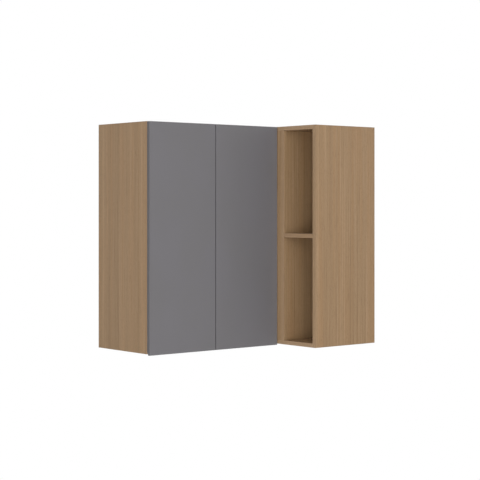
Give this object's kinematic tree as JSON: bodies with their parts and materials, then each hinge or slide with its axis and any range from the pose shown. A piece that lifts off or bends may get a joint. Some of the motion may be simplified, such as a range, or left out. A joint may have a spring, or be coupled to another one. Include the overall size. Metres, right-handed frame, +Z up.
{
  "type": "corner wall cabinet",
  "caption": "Corner wall cabinet: plain grey doors on concealed cup hinges on one wall, and an open shelved niche unit along the other wall, facing sideways.",
  "frame": {"origin": "centre of the screw pattern in the hanging rails, on the wall behind the doors", "axes": "+Z up, doors facing -Y, +X along the wall towards the niche unit and the second wall"},
  "size_m": [0.884, 0.514, 0.804],
  "materials": {
    "wood_decor_board": "oak-look melamine on chipboard, fine straight grain, satin",
    "door_lacquer": "matt grey lacquered fibreboard",
    "thin_back": "thin fibreboard with printed wood decor",
    "joiner_plastic": "extruded brown plastic, matt",
    "beech_dowel": "fluted raw beech",
    "soft_bumper": "soft clear bumper",
    "zinc_casting": "die-cast zinc, dull",
    "zinc_plated_steel": "bright zinc plating",
    "nickel_plated_steel": "nickel plating, satin"
  },
  "bodies": {
    "carcass": {"back_joiner_strip": "joiner_plastic", "back_panel_left": "thin_back", "back_panel_right": "thin_back", "blind_front_panel": "wood_decor_board", "bottom_panel": "wood_decor_board", "cam_bolts": "zinc_plated_steel", "cam_housings": "zinc_casting", "corner_filler": "wood_decor_board", "dowels": "beech_dowel", "hinge_arm_pins": "nickel_plated_steel", "hinge_arm_screws": "zinc_plated_steel", "hinge_plate_screws": "zinc_plated_steel", "hinge_stile": "wood_decor_board", "joining_screws": "zinc_plated_steel", "left_lower_hinge_arm": "nickel_plated_steel", "left_lower_hinge_plate": "nickel_plated_steel", "left_side_panel": "wood_decor_board", "left_upper_hinge_arm": "nickel_plated_steel", "left_upper_hinge_plate": "nickel_plated_steel", "lower_hanging_rail": "wood_decor_board", "main_shelf": "wood_decor_board", "niche_back_panel": "thin_back", "niche_bottom_panel": "wood_decor_board", "niche_inner_side": "wood_decor_board", "niche_lower_rail": "wood_decor_board", "niche_outer_side": "wood_decor_board", "niche_shelf": "wood_decor_board", "niche_top_panel": "wood_decor_board", "niche_upper_rail": "wood_decor_board", "rear_batten": "wood_decor_board", "right_lower_hinge_arm": "nickel_plated_steel", "right_lower_hinge_plate": "nickel_plated_steel", "right_side_panel": "wood_decor_board", "right_upper_hinge_arm": "nickel_plated_steel", "right_upper_hinge_plate": "nickel_plated_steel", "shelf_pins": "zinc_plated_steel", "top_panel": "wood_decor_board", "upper_hanging_rail": "wood_decor_board"},
    "left_outer_links": {"left_lower_outer_link": "nickel_plated_steel", "left_upper_outer_link": "nickel_plated_steel"},
    "left_inner_links": {"left_lower_inner_link": "nickel_plated_steel", "left_upper_inner_link": "nickel_plated_steel"},
    "left_door": {"left_cup_pins": "nickel_plated_steel", "left_cup_screws": "zinc_plated_steel", "left_door": "door_lacquer", "left_door_bumpers": "soft_bumper", "left_lower_hinge_cup": "nickel_plated_steel", "left_upper_hinge_cup": "nickel_plated_steel"},
    "right_outer_links": {"right_lower_outer_link": "nickel_plated_steel", "right_upper_outer_link": "nickel_plated_steel"},
    "right_inner_links": {"right_lower_inner_link": "nickel_plated_steel", "right_upper_inner_link": "nickel_plated_steel"},
    "right_door": {"right_cup_pins": "nickel_plated_steel", "right_cup_screws": "zinc_plated_steel", "right_door": "door_lacquer", "right_door_bumpers": "soft_bumper", "right_lower_hinge_cup": "nickel_plated_steel", "right_upper_hinge_cup": "nickel_plated_steel"}
  },
  "joints": [
    {"name": "left_outer_link_swing", "type": "hinge", "parent": "carcass", "child": "left_outer_links", "pos_m": [-0.40835, -0.284, 0], "axis": [0, 0, 1], "range_deg": [0, 28.04]},
    {"name": "left_door_swing", "type": "hinge", "parent": "left_outer_links", "child": "left_door", "pos_m": [-0.43094, -0.29881, 0], "axis": [0, 0, -1], "range_deg": [0, 123.02]},
    {"name": "left_inner_link_swing", "type": "hinge", "parent": "carcass", "child": "left_inner_links", "pos_m": [-0.40642, -0.3028, 0], "axis": [0, 0, 1], "range_deg": [0, 31.13]},
    {"name": "right_outer_link_swing", "type": "hinge", "parent": "carcass", "child": "right_outer_links", "pos_m": [0.10835, -0.284, 0], "axis": [0, 0, -1], "range_deg": [0, 26.57]},
    {"name": "right_door_swing", "type": "hinge", "parent": "right_outer_links", "child": "right_door", "pos_m": [0.13094, -0.29881, 0], "axis": [0, 0, 1], "range_deg": [0, 116.55]},
    {"name": "right_inner_link_swing", "type": "hinge", "parent": "carcass", "child": "right_inner_links", "pos_m": [0.10642, -0.3028, 0], "axis": [0, 0, -1], "range_deg": [0, 29.49]}
  ],
  "couplings": [
    {"joint": "left_outer_link_swing", "follows": "left_door_swing", "ratio": 0.22779},
    {"joint": "left_inner_link_swing", "follows": "left_door_swing", "ratio": 0.25285},
    {"joint": "right_outer_link_swing", "follows": "right_door_swing", "ratio": 0.22779},
    {"joint": "right_inner_link_swing", "follows": "right_door_swing", "ratio": 0.25285}
  ]
}
